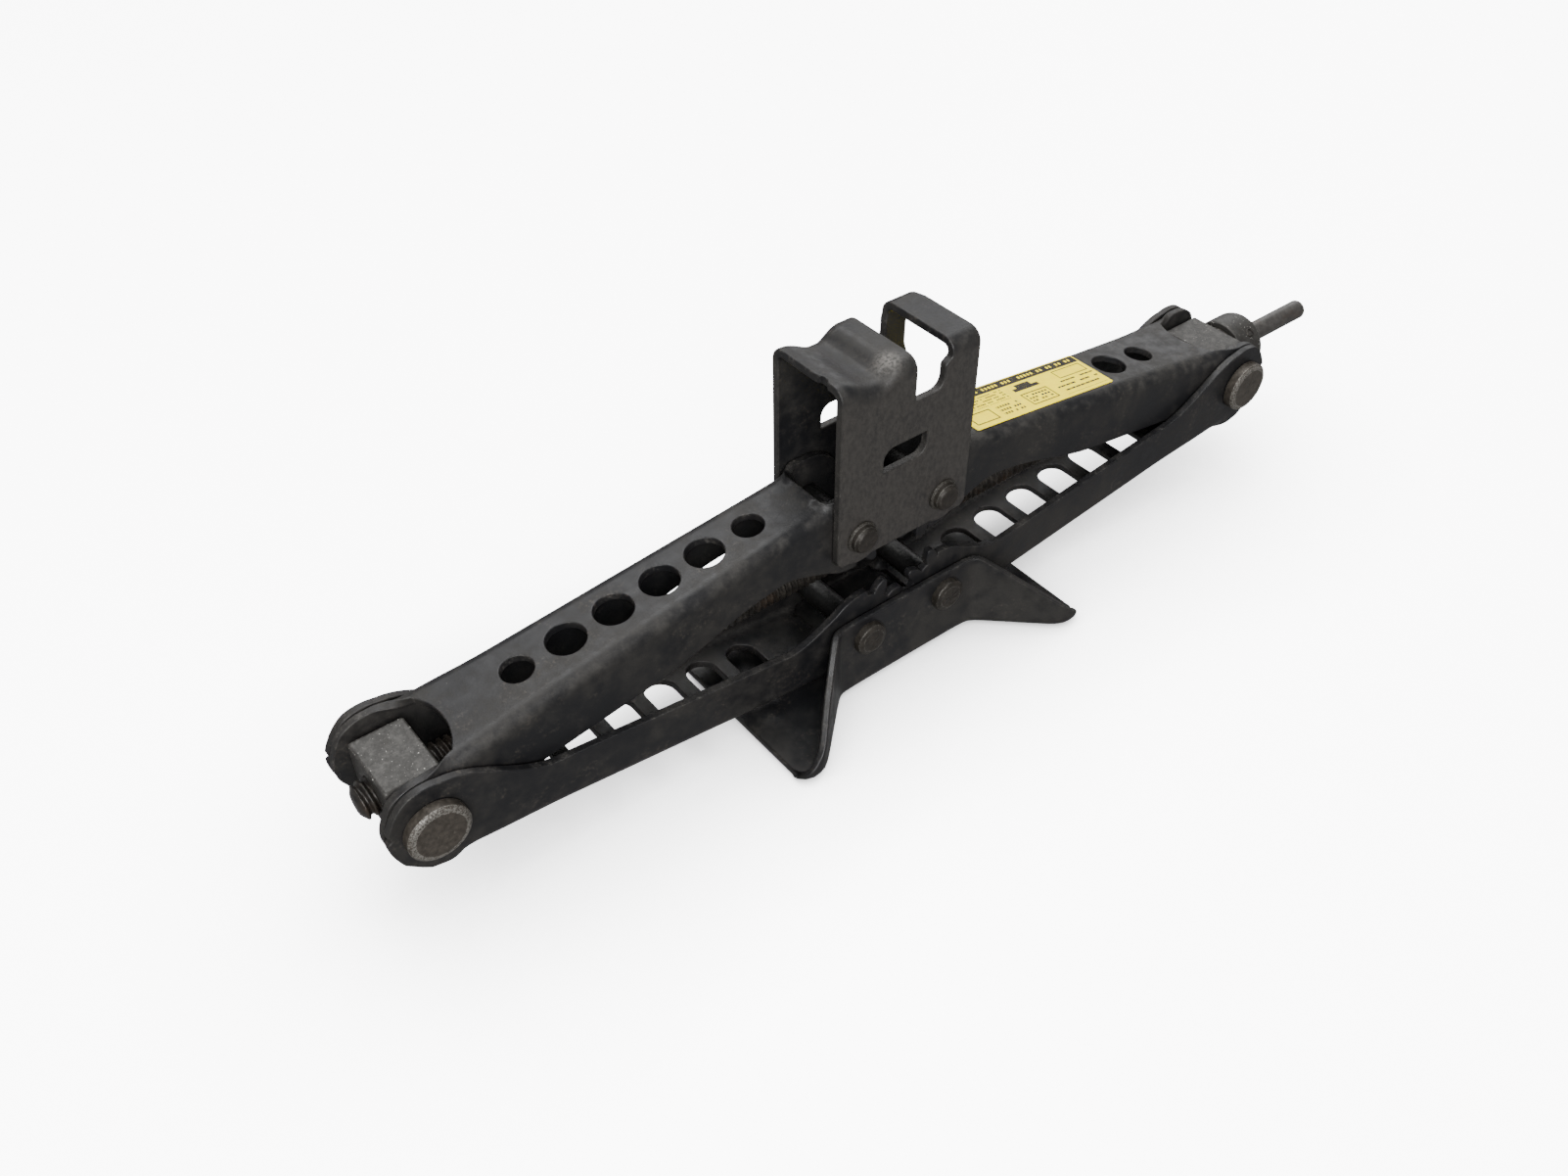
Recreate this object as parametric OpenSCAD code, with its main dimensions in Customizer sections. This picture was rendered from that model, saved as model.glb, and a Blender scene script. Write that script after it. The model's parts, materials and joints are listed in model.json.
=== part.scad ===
// Scissor jack from a car tool kit, in its lowered position.
// X runs along the jack with the drive rod at +X, Y runs across it and Z is up.
// The origin is the centre of the underside of the base, on the ground.

/* [Linkage] */
// Distance between the two pivots of one arm
arm_len = 161.8; // [156:0.2:170]
// Angle of every arm above or below the level, with the jack lowered
rest_angle = 7.28; // [6:0.02:9]
// Distance between the left and right pivots, at the base and at the saddle
pivot_gap = 36; // [36:0.5:38]
// Height of the base pivots above the ground
base_pivot_z = 22; // [22:0.5:24]

/* [Pressed arms] */
// Thickness of the sheet that the arms are pressed from
arm_sheet = 2.8; // [2.4:0.1:3]
// Outer half width of an upper arm at the saddle
upper_half_in = 13.4; // [12.8:0.1:13.4]
// Outer half width of an upper arm at the screw
upper_half_out = 17.6; // [17:0.1:17.6]
// Outer half width of a lower arm at the base
lower_half_in = 19.6; // [19.2:0.1:19.6]
// Outer half width of a lower arm at the screw
lower_half_out = 20.8; // [20.8:0.1:21]
// Height of an upper arm's web above its pivot line
upper_web_h = 14.5; // [14:0.1:16]
// Depth of a lower arm's web below its pivot line
lower_web_h = 17.7; // [16.5:0.1:18]
// Distance between the lightening holes along an arm
hole_pitch = 17.3; // [16:0.1:17.6]

/* [Gear sectors] */
// Number of teeth that a full circle would hold
gear_teeth = 12; // [12:1:12]
// Height of a tooth above its pitch circle
tooth_add = 2.6; // [2.2:0.1:2.6]
// Play between two meshing teeth
backlash = 0.3; // [0.2:0.05:0.5]

/* [Base] */
// Thickness of the base sheet
base_sheet = 2.5; // [2:0.1:2.5]
// Half length of the base along the jack
base_half_x = 65.5; // [60:0.5:72]
// Half width of the base at its foot tips
base_half_y = 48.5; // [44:0.5:52]
// Outer half width of the base between its pivot walls
base_waist = 23; // [23:0.1:24]
// Height of the pivot walls
base_wall_z = 31; // [30:0.5:36]

/* [Saddle] */
// Thickness of the saddle sheet
saddle_sheet = 3; // [2.5:0.1:3]
// Outer half width of the saddle
saddle_half = 17.2; // [16.8:0.1:17.2]
// Height of the saddle's top above the ground
saddle_top = 123; // [112:0.5:130]
// Low edge of the slot that takes the vehicle's sill seam
slot_floor = 107; // [100:0.5:110]

/* [Screw and pins] */
// Outer radius of the screw thread
screw_r = 6; // [5:0.1:6.2]
// Radius of the plain drive rod
rod_r = 4; // [3.5:0.1:5]
// Radius of the thrust collar
collar_r = 12.5; // [10:0.5:12.5]
// Radius of the end pins inside the arms
end_pin_r = 6; // [5:0.1:6.5]
// Radius of the end pins' heads
end_head_r = 10; // [8:0.5:11]

/* [Hidden] */
$fn = 96;
run_fit = 0.06;                 // radial play of a pin in a part that turns on it
open_fit = 0.08;                // the same at the saddle pivots, which close the linkage
snug_fit = 0.02;                // radial play of a pin in the part that it is fixed in
rise = arm_len * sin(rest_angle);
end_x = pivot_gap / 2 + arm_len * cos(rest_angle);
end_z = base_pivot_z + rise;
saddle_pivot_z = end_z + rise;
big = 60;                       // longer than any cut needs

// Gear sectors: the pitch circles touch midway between the pivots
pitch_r = pivot_gap / 2;
pressure = 25;
base_r = pitch_r * cos(pressure);
tip_r = pitch_r + tooth_add;
root_r = pitch_r - tooth_add - 0.4;
tooth_step = 360 / gear_teeth;
deg = 180 / PI;

// Ends and edges of the arms
upper_end_r = 15.5;
lower_end_r = 15.6;
inner_lobe_r = 17;
web_arc_r = 22;                 // hollow curve that ends a web at the screw
web_arc_offset = 3.5;
upper_web_start = 8;
lower_web_start = 1;
first_hole = 43.8;              // from the end pivot
hole_count = 6;
hole_r_small = 5.3;
hole_r_big = 6.5;
slot_half = 4.7;                // straight half length of the lower arm's slots
slot_r = 5.8;
profile_step = 4;

// Plan of the base: its walls flare from waist_x to foot_x
waist_x = 30.5;
foot_x = base_half_x - 8;

// Pins
base_pin_r = 4.5;
base_head_r = 6.4;
base_head_t = 3.4;
saddle_pin_r = 4;
saddle_head_r = 5.8;
saddle_head_t = 4;
end_head_in = 21.2;
end_head_t = 4.2;
edge_break = 0.6;

// Blocks, screw and collar
block_len = 18;
block_half_y = 12.4;
block_half_z = 11.5;
pin_seat = 7.6;                 // a block's pin bores stop this far from the screw axis
journal_r = 5.5;
screw_tip_x = -193;
journal_x = end_x - block_len / 2 - 3;
washer_t = 2.4;
washer_r = 10.5;
collar_len = 16;
collar_nose = 3;
rod_tip_x = 244;
collar_pin_r = 2;
collar_pin_tilt = 40;

function ease(t) = t <= 0 ? 0 : t >= 1 ? 1 : t * t * (3 - 2 * t);
function polar(r, a) = [r * cos(a), r * sin(a)];
// Angle that an involute has turned through when it reaches radius r
function involute(r) = let (t = acos(base_r / r)) tan(t) * deg - t;
function tooth_half(r) =
    90 / gear_teeth - backlash / 4 / pitch_r * deg + involute(pitch_r) - involute(max(r, base_r));
function steps(from, to) = [for (i = [0 : ceil((to - from) / profile_step)])
    min(to, from + i * profile_step)];
function back(list) = [for (i = [len(list) - 1 : -1 : 0]) list[i]];
// Straight runs between the given [distance, half width] pairs, mirrored across the arm
function strip(pairs, inset) = concat(
    [for (p = pairs) [p[0], inset - p[1]]],
    [for (p = back(pairs)) [p[0], p[1] - inset]]);

upper_plan = [[-24, upper_half_in], [18, upper_half_in],
    [arm_len - 36, upper_half_out - 1.6], [arm_len - 18, upper_half_out],
    [arm_len + 24, upper_half_out]];
lower_plan = [[-24, lower_half_in], [arm_len - 42, lower_half_in + 0.3],
    [arm_len - 18, lower_half_out], [arm_len + 24, lower_half_out]];
// Free edges of the flanges, s being the distance from the inner pivot
function upper_edge(s) = -(4 + 12.2 * (1 - ease(s / 32)) + 5 * ease((s - 37) / 45)
    + 6.5 * ease((s - arm_len + 36) / 32));
function lower_edge(s) = 2.2 + 14 * (1 - ease(s / 32))
    + 13.2 * ease((s - arm_len + 42) / 38);

// An outline in the X-Z plane, extruded across Y from y0 to y1
module slab(y0, y1) {
    translate([0, y1, 0])
        rotate([90, 0, 0])
            linear_extrude(y1 - y0)
                children();
}

// A round bar along Y, centred on x and z
module cross_bar(x, z, r, half = big) {
    translate([x, half, z])
        rotate([90, 0, 0])
            cylinder(h = 2 * half, r = r);
}

module plan_prism(pairs, inset, z0, z1) {
    translate([0, 0, z0])
        linear_extrude(z1 - z0)
            polygon(strip(pairs, inset));
}

module tooth(angle) {
    radii = [root_r - 1, base_r, pitch_r - 0.8, pitch_r + 0.9, tip_r];
    polygon(concat(
        [for (r = radii) polar(r, angle - tooth_half(r))],
        [for (r = back(radii)) polar(r, angle + tooth_half(r))]));
}

// Gear sector of a lower arm that reaches out along +X; shift turns its teeth by half a step
module gear_sector(shift) {
    circle(r = root_r);
    intersection() {
        circle(r = inner_lobe_r);
        translate([-1, -big])
            square([big, 2 * big]);
    }
    first = shift ? -tooth_step / 2 : 0;
    for (k = [0 : shift ? 3 : 2])
        tooth(180 - rest_angle - first - k * tooth_step);
}

module upper_side(shift) {
    mirror([0, 1])
        gear_sector(shift);
    translate([arm_len, 0])
        circle(r = upper_end_r);
    polygon(concat([[arm_len, upper_web_h], [0, upper_web_h]],
        [for (s = steps(0, arm_len)) [s, upper_edge(s)]]));
}

module lower_side(shift) {
    gear_sector(shift);
    translate([arm_len, 0])
        circle(r = lower_end_r);
    polygon(concat([[0, -lower_web_h], [arm_len, -lower_web_h], [arm_len + 8.5, -lower_web_h + 5.2]],
        [for (s = back(steps(0, arm_len))) [s, lower_edge(s)]]));
}

// Takes the web away at both ends of an arm, between z0 and z1
module web_cuts(pairs, start, z0, z1) {
    intersection() {
        plan_prism(pairs, arm_sheet, z0, z1);
        union() {
            translate([-big, -big, z0])
                cube([big + start, 2 * big, z1 - z0]);
            translate([arm_len + web_arc_offset, 0, z0])
                cylinder(h = z1 - z0, r = web_arc_r);
        }
    }
}

module pivot_holes(inner_r) {
    cross_bar(0, 0, inner_r);
    cross_bar(arm_len, 0, end_pin_r + run_fit);
}

module upper_arm(shift, holes) {
    difference() {
        intersection() {
            slab(-big, big)
                upper_side(shift);
            plan_prism(upper_plan, 0, -big, big);
        }
        plan_prism(upper_plan, arm_sheet, -big, upper_web_h - arm_sheet);
        web_cuts(upper_plan, upper_web_start, 0, big);
        for (k = holes)
            translate([arm_len - first_hole - k * hole_pitch, 0, 0])
                cylinder(h = big, r = k == 0 || k == hole_count - 1 ? hole_r_small : hole_r_big);
        pivot_holes(saddle_pin_r + open_fit);
    }
}

module lower_arm(shift) {
    difference() {
        intersection() {
            slab(-big, big)
                lower_side(shift);
            plan_prism(lower_plan, 0, -big, big);
        }
        plan_prism(lower_plan, arm_sheet, arm_sheet - lower_web_h, big);
        web_cuts(lower_plan, lower_web_start, -big, 0);
        for (k = [0 : hole_count - 1])
            translate([arm_len - first_hole - k * hole_pitch, 0, -big])
                cross_slot(big);
        pivot_holes(base_pin_r + run_fit);
    }
}

// A slot with round ends, its length across the arm
module cross_slot(h) {
    for (side = [-1, 1])
        translate([0, side * slot_half, 0])
            cylinder(h = h, r = slot_r);
    translate([-slot_r, -slot_half, 0])
        cube([2 * slot_r, 2 * slot_half, h]);
}

module at_base_right() {
    translate([pivot_gap / 2, 0, base_pivot_z])
        rotate([0, -rest_angle, 0])
            children();
}

module at_saddle_right() {
    translate([pivot_gap / 2, 0, saddle_pivot_z])
        rotate([0, rest_angle, 0])
            children();
}

module lower_arm_left() {
    color("#2b2b2d") mirror([1, 0, 0]) at_base_right() lower_arm(false);
}

module lower_arm_right() {
    color("#2b2b2d") at_base_right() lower_arm(true);
}

module upper_arm_left() {
    color("#303033") mirror([1, 0, 0]) at_saddle_right() upper_arm(false, [0 : hole_count - 1]);
}

// The label covers the part of this web that has no holes
module upper_arm_right() {
    color("#303033") at_saddle_right() upper_arm(true, [0, 1]);
}

module rating_label() {
    label_len = 71;
    label_w = 22;
    label_t = 0.3;
    label_from_end = 70;
    label_y = 1;
    color("#e6dc7a") at_saddle_right()
        translate([arm_len - label_from_end - label_len, label_y - label_w / 2, upper_web_h])
            cube([label_len, label_w, label_t]);
}

// Outline of the base from above, inset by the sheet for the hollow inside
module bow_tie(inset) {
    tip_r = 4.5;
    flare = atan2(base_half_y - base_waist, foot_x - waist_x);
    shift = inset * tan(flare / 2);
    tip = [base_half_x - tip_r, base_half_y - inset - tip_r];
    quarter = concat([[waist_x + shift, base_waist - inset], [foot_x + shift, base_half_y - inset]],
        [for (a = [90 : -15 : 0]) tip + polar(tip_r, a)], [[base_half_x, 0]]);
    for (mx = [0, 1], my = [0, 1])
        mirror([mx, 0])
            mirror([0, my])
                polygon(concat([[0, 0], [0, base_waist - inset]], quarter));
}

module base_side() {
    shoulder = waist_x + 3;
    foot_z = 10;
    tip_z = 4;
    polygon([[-base_half_x, 0], [-base_half_x, tip_z], [-foot_x, foot_z], [-shoulder, base_wall_z],
        [shoulder, base_wall_z], [foot_x, foot_z], [base_half_x, tip_z], [base_half_x, 0]]);
}

module base_plate() {
    dimple_r = 9;
    dimple_h = 1.6;
    color("#2a2a2c") {
        difference() {
            intersection() {
                linear_extrude(base_wall_z)
                    bow_tie(0);
                slab(-big, big)
                    base_side();
            }
            translate([0, 0, base_sheet])
                linear_extrude(big)
                    union() {
                        bow_tie(base_sheet);
                        for (side = [-1, 1])
                            translate([side * (base_half_x - 2), 0])
                                square([8, 2 * (base_half_y - 7)], center = true);
                    }
            for (side = [-1, 1])
                cross_bar(side * pivot_gap / 2, base_pivot_z, base_pin_r + snug_fit);
        }
        for (sx = [-1, 1], sy = [-1, 1])
            translate([sx * 56, sy * 16, base_sheet])
                intersection() {
                    translate([0, 0, dimple_h - dimple_r])
                        sphere(r = dimple_r);
                    cylinder(h = dimple_h, r = dimple_r);
                }
    }
}

// Half section of a pin with two heads, for turning about its axis
module pin_section(shaft_r, head_r, head_in, head_t) {
    out = head_in + head_t;
    polygon([[0, -out], [head_r - edge_break, -out], [head_r, -out + edge_break],
        [head_r, -head_in], [shaft_r, -head_in], [shaft_r, head_in], [head_r, head_in],
        [head_r, out - edge_break], [head_r - edge_break, out], [0, out]]);
}

module two_head_pin(x, z, shaft_r, head_r, head_in, head_t) {
    color("#5d5650")
        translate([x, 0, z])
            rotate([90, 0, 0])
                rotate_extrude()
                    pin_section(shaft_r, head_r, head_in, head_t);
}

module base_pin_left() {
    two_head_pin(-pivot_gap / 2, base_pivot_z, base_pin_r, base_head_r, base_waist, base_head_t);
}

module base_pin_right() {
    two_head_pin(pivot_gap / 2, base_pivot_z, base_pin_r, base_head_r, base_waist, base_head_t);
}

module saddle_pin_left() {
    two_head_pin(-pivot_gap / 2, saddle_pivot_z, saddle_pin_r, saddle_head_r,
        saddle_half, saddle_head_t);
}

module saddle_pin_right() {
    two_head_pin(pivot_gap / 2, saddle_pivot_z, saddle_pin_r, saddle_head_r,
        saddle_half, saddle_head_t);
}

// One end pin on the near (-1) or far (+1) side; x is where its block sits
module end_pin(x, side) {
    out = end_head_in + end_head_t;
    color("#6b625a")
        translate([x, 0, end_z])
            rotate([-90 * side, 0, 0])
                rotate_extrude()
                    polygon([[0, pin_seat], [end_pin_r, pin_seat], [end_pin_r, end_head_in],
                        [end_head_r, end_head_in], [end_head_r, out - edge_break],
                        [end_head_r - edge_break, out], [0, out]]);
}

module end_pin_left_near() {
    end_pin(-end_x, -1);
}

module end_pin_left_far() {
    end_pin(-end_x, 1);
}

module end_pin_right_near() {
    end_pin(end_x, -1);
}

module end_pin_right_far() {
    end_pin(end_x, 1);
}

// A steel block at x with a hole for the screw and two blind bores for its end pins
module trunnion_block(x, bore_r) {
    color("#77756f")
        difference() {
            translate([x - block_len / 2, -block_half_y, end_z - block_half_z])
                cube([block_len, 2 * block_half_y, 2 * block_half_z]);
            translate([x - block_len, 0, end_z])
                rotate([0, 90, 0])
                    cylinder(h = 2 * block_len, r = bore_r);
            for (side = [-1, 1])
                translate([x, side * pin_seat, end_z])
                    rotate([-90 * side, 0, 0])
                        cylinder(h = block_half_y, r = end_pin_r + snug_fit);
        }
}

module nut_block() {
    trunnion_block(-end_x, screw_r + run_fit);
}

module bearing_block() {
    trunnion_block(end_x, journal_r + run_fit);
}

module thrust_washer() {
    color("#4a4038")
        translate([end_x + block_len / 2, 0, end_z])
            rotate([0, 90, 0])
                difference() {
                    cylinder(h = washer_t, r = washer_r);
                    translate([0, 0, -1])
                        cylinder(h = washer_t + 2, r = journal_r + run_fit);
                }
}

collar_x = end_x + block_len / 2 + washer_t + 0.1;
collar_out = collar_x + collar_len;

// Threaded part, plain journal and drive rod, turned about X
module screw() {
    cone = 1.2;
    color("#55524d")
        difference() {
            translate([0, 0, end_z])
                rotate([0, 90, 0])
                    rotate_extrude()
                        polygon([[0, screw_tip_x], [screw_r - cone, screw_tip_x],
                            [screw_r, screw_tip_x + cone], [screw_r, journal_x],
                            [journal_r, journal_x + 0.5], [journal_r, collar_out],
                            [rod_r, collar_out], [rod_r, rod_tip_x - cone],
                            [rod_r - cone, rod_tip_x], [0, rod_tip_x]]);
            collar_pin_bar(collar_pin_r + snug_fit, collar_r + 2);
        }
}

module thrust_collar() {
    color("#5f5c56")
        difference() {
            translate([0, 0, end_z])
                rotate([0, 90, 0])
                    rotate_extrude()
                        polygon([[journal_r + snug_fit, collar_x], [collar_r - 0.5, collar_x],
                            [collar_r, collar_x + 0.5], [collar_r, collar_out - collar_nose],
                            [collar_r - collar_nose, collar_out],
                            [journal_r + snug_fit, collar_out]]);
            collar_pin_bar(collar_pin_r + snug_fit, collar_r + 2);
        }
}

module collar_pin_bar(r, half) {
    translate([collar_x + collar_len / 2, 0, end_z])
        rotate([collar_pin_tilt, 0, 0])
            cross_bar(0, 0, r, half);
}

// Spring pin that holds the collar to the screw
module collar_pin() {
    color("#3c3a37")
        collar_pin_bar(collar_pin_r, collar_r - 0.3);
}

// Saddle: its ends, its slot, the inner face of the hoop and the dish in its platform
saddle_low_x = -27.7;
saddle_high_x = 29.5;
slot_x0 = 2.8;
slot_x1 = 14.5;
hoop_x = 17.5;
dish_depth = 4.2;
dish_steps = [for (x = [saddle_low_x : 1.5 : slot_x0]) x];

// Height of the platform: level at the slot and dished towards the nut end
function dish(x) = saddle_top - dish_depth * ease((x + 26) / 12) * (1 - ease((x + 11) / 8));

module saddle_side() {
    skirt_z = 53;
    pin_lobe_r = 11.2;
    for (side = [-1, 1])
        translate([side * pivot_gap / 2, saddle_pivot_z])
            circle(r = pin_lobe_r);
    polygon(concat([[saddle_low_x, skirt_z], [saddle_high_x, skirt_z], [saddle_high_x, saddle_top]],
        [for (x = back(dish_steps)) [x, dish(x)]]));
}

// Opening in each wall below the platform, with two opposite corners rounded
module leaf_hole() {
    intersection() {
        translate([-9.4, 84.5])
            square([18.2, 8.5]);
        translate([1.6, 84.5])
            circle(r = 11.2);
        translate([-2.2, 93])
            circle(r = 11.2);
    }
}

module saddle() {
    corner = 4;
    color("#313134")
        difference() {
            intersection() {
                slab(-saddle_half, saddle_half)
                    saddle_side();
                translate([saddle_low_x, -big, 0])
                    cube([saddle_high_x - saddle_low_x, 2 * big, saddle_top + 1]);
            }
            slab(saddle_sheet - saddle_half, saddle_half - saddle_sheet)
                polygon(concat([[saddle_low_x - 1, 0], [saddle_high_x + 1, 0],
                    [saddle_high_x + 1, saddle_top - saddle_sheet]],
                    [for (x = back(dish_steps)) [x, dish(x) - saddle_sheet]],
                    [[saddle_low_x - 1, saddle_top - saddle_sheet]]));
            // Slot for the sill seam, with a round corner under the hoop
            slab(-big, big)
                union() {
                    translate([slot_x0, slot_floor + corner])
                        square([slot_x1 - slot_x0, big]);
                    translate([slot_x0, slot_floor])
                        square([slot_x1 - slot_x0 - corner, big]);
                    translate([slot_x1 - corner, slot_floor + corner])
                        circle(r = corner);
                }
            translate([slot_x0, saddle_sheet - saddle_half, slot_floor])
                cube([hoop_x - slot_x0, 2 * (saddle_half - saddle_sheet), big]);
            slab(-big, big)
                leaf_hole();
            for (side = [-1, 1])
                cross_bar(side * pivot_gap / 2, saddle_pivot_z, saddle_pin_r + snug_fit);
        }
}

base_plate();
base_pin_left();
base_pin_right();
lower_arm_left();
lower_arm_right();
upper_arm_left();
upper_arm_right();
rating_label();
saddle();
saddle_pin_left();
saddle_pin_right();
nut_block();
end_pin_left_near();
end_pin_left_far();
bearing_block();
end_pin_right_near();
end_pin_right_far();
thrust_washer();
screw();
thrust_collar();
collar_pin();
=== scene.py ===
import json
from math import acos, asin, atan2, ceil, copysign, cos, degrees, hypot, pi, radians, sin, sqrt, tan

import bpy
import numpy as np
from mathutils import Matrix, Vector
from mathutils.geometry import delaunay_2d_cdt

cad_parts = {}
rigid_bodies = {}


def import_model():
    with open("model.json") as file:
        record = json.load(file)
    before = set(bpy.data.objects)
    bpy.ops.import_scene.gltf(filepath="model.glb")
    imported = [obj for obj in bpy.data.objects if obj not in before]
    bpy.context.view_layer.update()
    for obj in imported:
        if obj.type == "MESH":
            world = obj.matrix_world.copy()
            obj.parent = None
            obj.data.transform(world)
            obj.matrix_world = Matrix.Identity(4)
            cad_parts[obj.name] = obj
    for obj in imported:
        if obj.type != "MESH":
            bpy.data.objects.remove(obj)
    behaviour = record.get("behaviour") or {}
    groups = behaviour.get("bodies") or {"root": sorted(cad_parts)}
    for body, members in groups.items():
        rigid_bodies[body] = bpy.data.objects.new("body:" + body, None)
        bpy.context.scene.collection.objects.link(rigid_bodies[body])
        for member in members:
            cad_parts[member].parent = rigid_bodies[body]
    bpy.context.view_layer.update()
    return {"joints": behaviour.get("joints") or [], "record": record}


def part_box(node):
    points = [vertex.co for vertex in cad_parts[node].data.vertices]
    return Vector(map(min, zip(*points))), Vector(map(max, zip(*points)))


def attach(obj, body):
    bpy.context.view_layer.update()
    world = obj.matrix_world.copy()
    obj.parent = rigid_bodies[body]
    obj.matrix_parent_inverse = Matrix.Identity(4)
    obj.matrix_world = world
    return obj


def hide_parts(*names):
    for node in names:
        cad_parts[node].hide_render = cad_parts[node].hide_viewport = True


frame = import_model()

MM = 0.001
JOINTS = {joint["name"]: joint for joint in frame["joints"]}


def mm(point):
    """A point of the frame, in millimetres."""
    return np.array(point, float) / MM


def node_box(name):
    low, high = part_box(name)
    return mm(low), mm(high)


def node_middle(name):
    """The middle of a node's box and half its size."""
    low, high = node_box(name)
    return (low + high) / 2, (high - low) / 2


# ---- sizes from the frame
base_pivot = mm(JOINTS["lift"]["pos_m"])
end_pivot = mm(JOINTS["upper_left_fold"]["pos_m"])
saddle_pivot = mm(JOINTS["saddle_level"]["pos_m"])
HALF_GAP = -base_pivot[0]
ARM = float(np.hypot(end_pivot[0] - base_pivot[0], end_pivot[2] - base_pivot[2]))
REST = asin((end_pivot[2] - base_pivot[2]) / ARM)
END_X, END_Z = -end_pivot[0], end_pivot[2]
UPPER_OUT = node_box("upper_arm_left")[1][1]
LOWER_OUT = node_box("lower_arm_left")[1][1]
UPPER_IN = UPPER_OUT - 4.2
LOWER_IN = LOWER_OUT - 1.2
UPPER_WEB, LOWER_WEB = 14.5, 17.7
SHEET, ARM_BEND = 2.8, 3.6
PITCH_R = HALF_GAP
TEETH = 12
TOOTH_STEP = 2 * pi / TEETH
PRESSURE_ANGLE = radians(25)
TIP_R, ROOT_R = PITCH_R + 2.6, PITCH_R - 3.0
INVOLUTE_R = PITCH_R * cos(PRESSURE_ANGLE)
BACKLASH = 0.3
LOBE_R = 17.0
HOLE_FROM_END, HOLE_STEP = 43.8, 17.3
HOLE_R, END_HOLE_R = 6.5, 5.3
SLOT_R, SLOT_HALF = 5.8, 4.7
PIN_R = {"base": 4.5, "saddle": 4.0, "end": 6.0}
PIN_PLAY = {"base": 0.06, "saddle": 0.08, "end": 0.06}
PIN_FIT = 0.02


# ---- small geometry helpers
def ease(t):
    t = np.clip(t, 0.0, 1.0)
    return t * t * (3 - 2 * t)


def near(values, middle, width):
    """1 at the middle, fading to nothing over about two widths."""
    return np.exp(-((values - middle) / width) ** 2)


def both_sides(rows):
    return np.concatenate([-rows[::-1], rows])


def bent(across, flat, radius):
    """How far flat points have turned in a bend that starts at flat, and how far past it they are."""
    angle = np.clip((across - flat) / radius, 0, pi / 2)
    return angle, np.maximum(across - flat - pi / 2 * radius, 0)


def arc(centre, radius, start, end, step=1.0):
    """Points of an arc, angles in degrees."""
    turn = radians(end - start)
    count = max(2, int(ceil(abs(turn) * radius / step)) + 1)
    angles = np.linspace(radians(start), radians(end), count)
    return [(centre[0] + radius * cos(a), centre[1] + radius * sin(a)) for a in angles]


def rounded(points, radii, step=0.7):
    """A closed polygon with each corner replaced by an arc of its own radius."""
    points = [np.array(p, float) for p in points]
    out = []
    for i, corner in enumerate(points):
        before, after = points[i - 1], points[(i + 1) % len(points)]
        radius = radii[i] if isinstance(radii, (list, tuple)) else radii
        len_a, len_b = np.linalg.norm(before - corner), np.linalg.norm(after - corner)
        a, b = (before - corner) / len_a, (after - corner) / len_b
        half = acos(float(np.clip(a @ b, -1, 1))) / 2
        if radius < 1e-6 or half > pi / 2 - 0.02:
            out.append(tuple(corner))
            continue
        back = min(radius / tan(half), 0.49 * len_a, 0.49 * len_b)
        radius = back * tan(half)
        centre = corner + (a + b) / np.linalg.norm(a + b) * radius / sin(half)
        start, end = corner + a * back - centre, corner + b * back - centre
        count = max(3, int(radius * (pi - 2 * half) / step) + 2)
        first = atan2(start[1], start[0])
        turn = (atan2(end[1], end[0]) - first + pi) % (2 * pi) - pi
        for k in range(count):
            angle = first + turn * k / (count - 1)
            out.append((centre[0] + radius * cos(angle), centre[1] + radius * sin(angle)))
    return out


def area(loop):
    x, y = loop.T
    return 0.5 * float(np.sum(x * np.roll(y, -1) - y * np.roll(x, -1)))


def resample(loop, step):
    """A closed loop as counter-clockwise points with no side longer than step."""
    points = np.array(loop, float)
    keep = np.linalg.norm(points - np.roll(points, 1, 0), axis=1) > 0.04
    points = points[keep]
    if area(points) < 0:
        points = points[::-1]
    out = []
    for a, b in zip(points, np.roll(points, -1, 0)):
        count = max(1, int(ceil(np.linalg.norm(b - a) / step)))
        out += [a + (b - a) * k / count for k in range(count)]
    return np.array(out)


def loop_normals(loop):
    """Outward directions at the points of a counter-clockwise loop, longer at its corners."""
    side = np.roll(loop, -1, 0) - loop
    side /= np.linalg.norm(side, axis=1)[:, None]
    normal = np.stack([side[:, 1], -side[:, 0]], 1)
    mean = normal + np.roll(normal, 1, 0)
    mean /= np.maximum(np.linalg.norm(mean, axis=1), 1e-6)[:, None]
    stretch = np.clip(1 / np.maximum(np.sum(mean * normal, 1), 0.3), 1, 1.5)
    return mean * stretch[:, None]


def inside(points, loops):
    """Even-odd test of points against closed loops."""
    result = np.zeros(len(points), bool)
    px, py = points.T[:, :, None]
    for loop in loops:
        x0, y0 = loop.T[:, None]
        x1, y1 = np.roll(loop, -1, 0).T[:, None]
        crosses = (y0 > py) != (y1 > py)
        slope = np.where(np.abs(y1 - y0) < 1e-12, 1e-12, y1 - y0)
        at = x0 + (py - y0) * (x1 - x0) / slope
        result ^= (np.sum(crosses & (px < at), 1) % 2).astype(bool)
    return result


def nearest(points, others, batch=2000):
    """Distance from each point to the nearest of the others, a batch at a time."""
    out = np.empty(len(points))
    for i in range(0, len(points), batch):
        gap = points[i:i + batch][:, None] - others[None]
        out[i:i + batch] = np.sqrt((gap ** 2).sum(2).min(1))
    return out


def unit(vectors):
    return vectors / np.maximum(np.linalg.norm(vectors, axis=1), 1e-9)[:, None]


def new_object(name, data):
    obj = bpy.data.objects.new(name, data)
    bpy.context.scene.collection.objects.link(obj)
    return obj


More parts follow.
